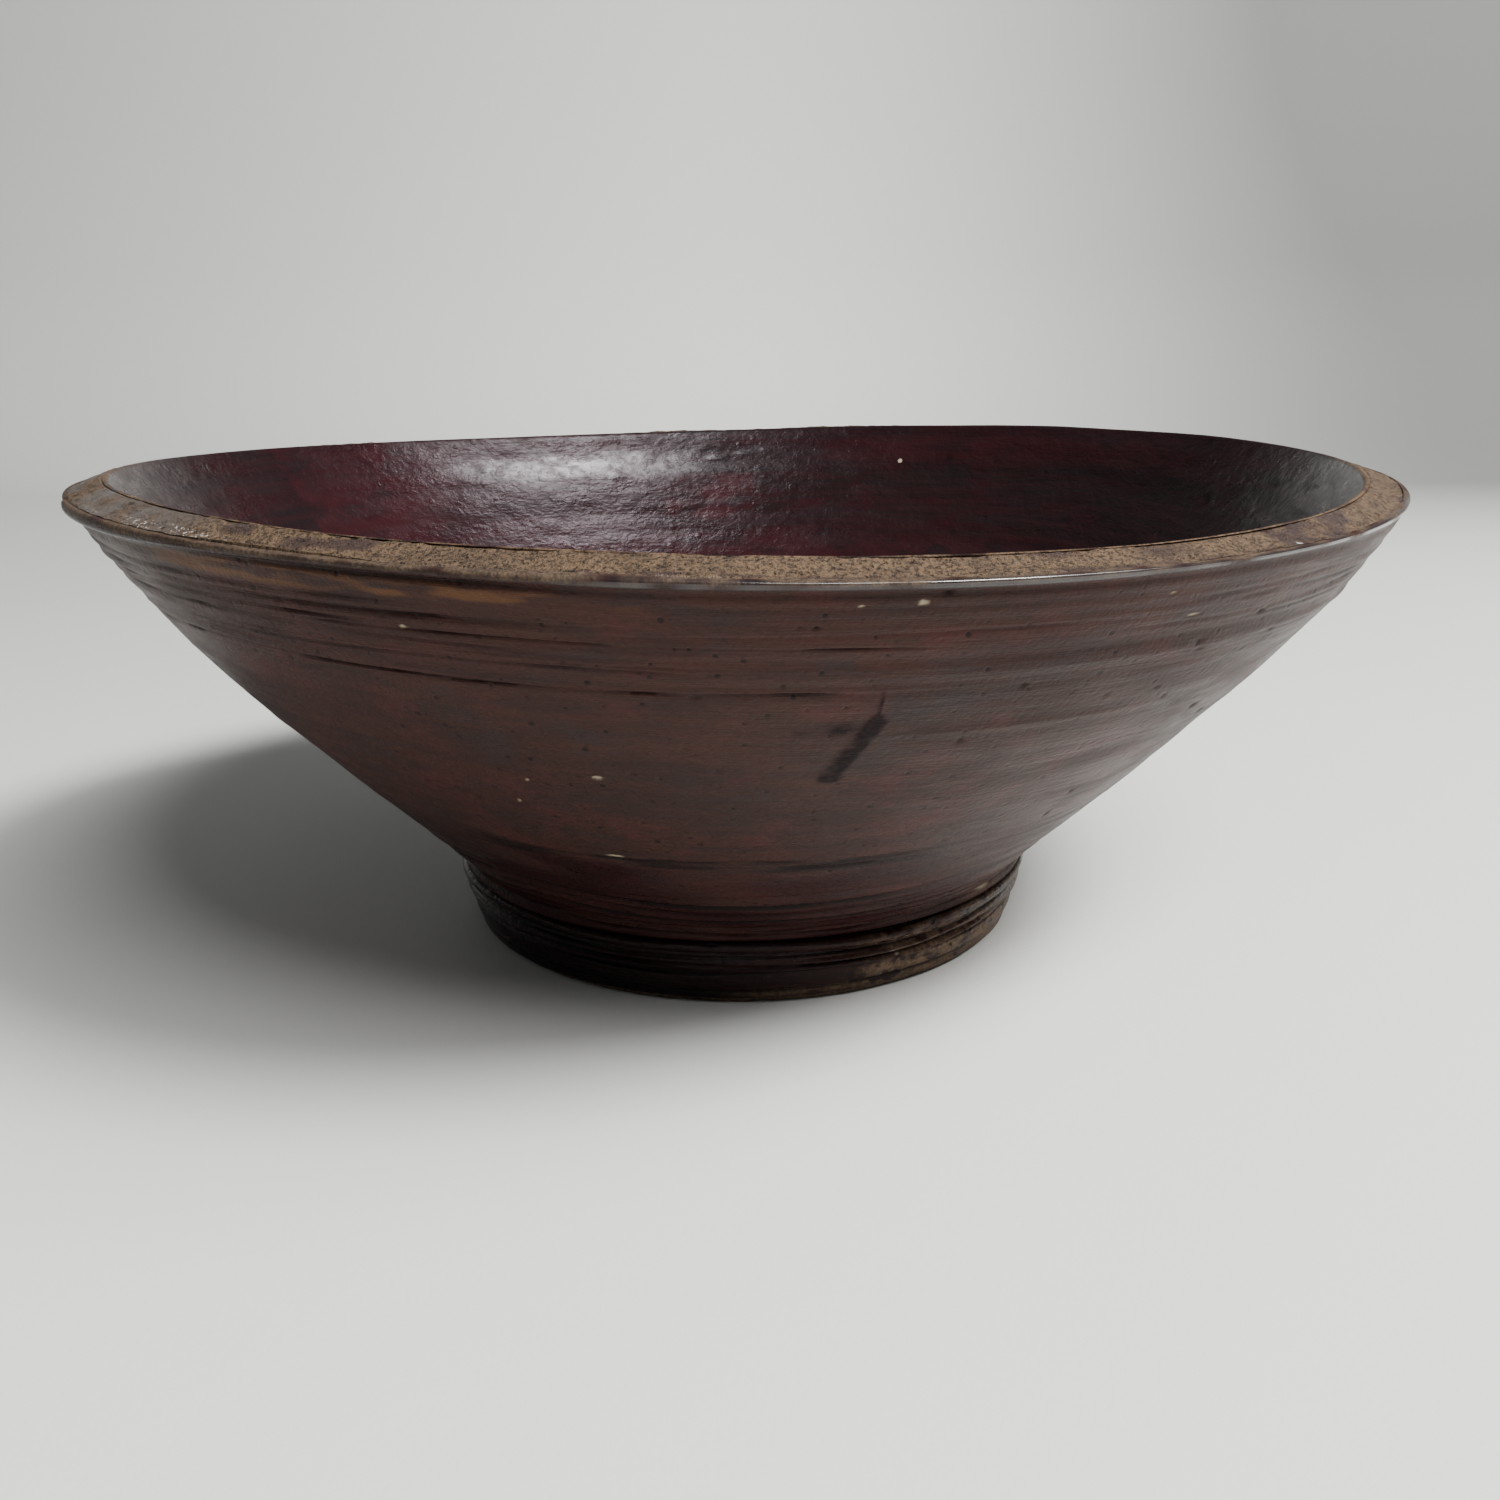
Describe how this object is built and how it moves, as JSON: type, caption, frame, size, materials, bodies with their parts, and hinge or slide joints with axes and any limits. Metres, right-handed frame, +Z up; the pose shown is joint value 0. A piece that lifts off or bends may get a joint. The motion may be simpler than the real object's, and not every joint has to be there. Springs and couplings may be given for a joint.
{
  "type": "turned wooden bowl",
  "caption": "Wide turned wooden bowl with a sloping bare rim, a glued foot ring and dark red lacquer coats inside and out, for mixing, kneading or serving.",
  "frame": {"origin": "centre of the flat face that the foot ring rests on", "axes": "+Z up along the axis the bowl was turned about; +X and +Y are level and equal"},
  "size_m": [0.4499, 0.45, 0.1675],
  "materials": {
    "bowl_wood": "bare, worn and darkened with age",
    "foot_wood": "bare, worn along the lower edge",
    "wall_coat": "satin dark brown-red lacquer over turning lines",
    "hollow_coat": "glossy dark red lacquer worn through to brown-black",
    "foot_coat": "glossy dark brown lacquer over turned ridges"
  },
  "bodies": {
    "root": {"bowl_body": "bowl_wood", "foot_ring": "foot_wood", "wall_lacquer": "wall_coat", "hollow_lacquer": "hollow_coat", "foot_lacquer": "foot_coat"}
  },
  "joints": []
}
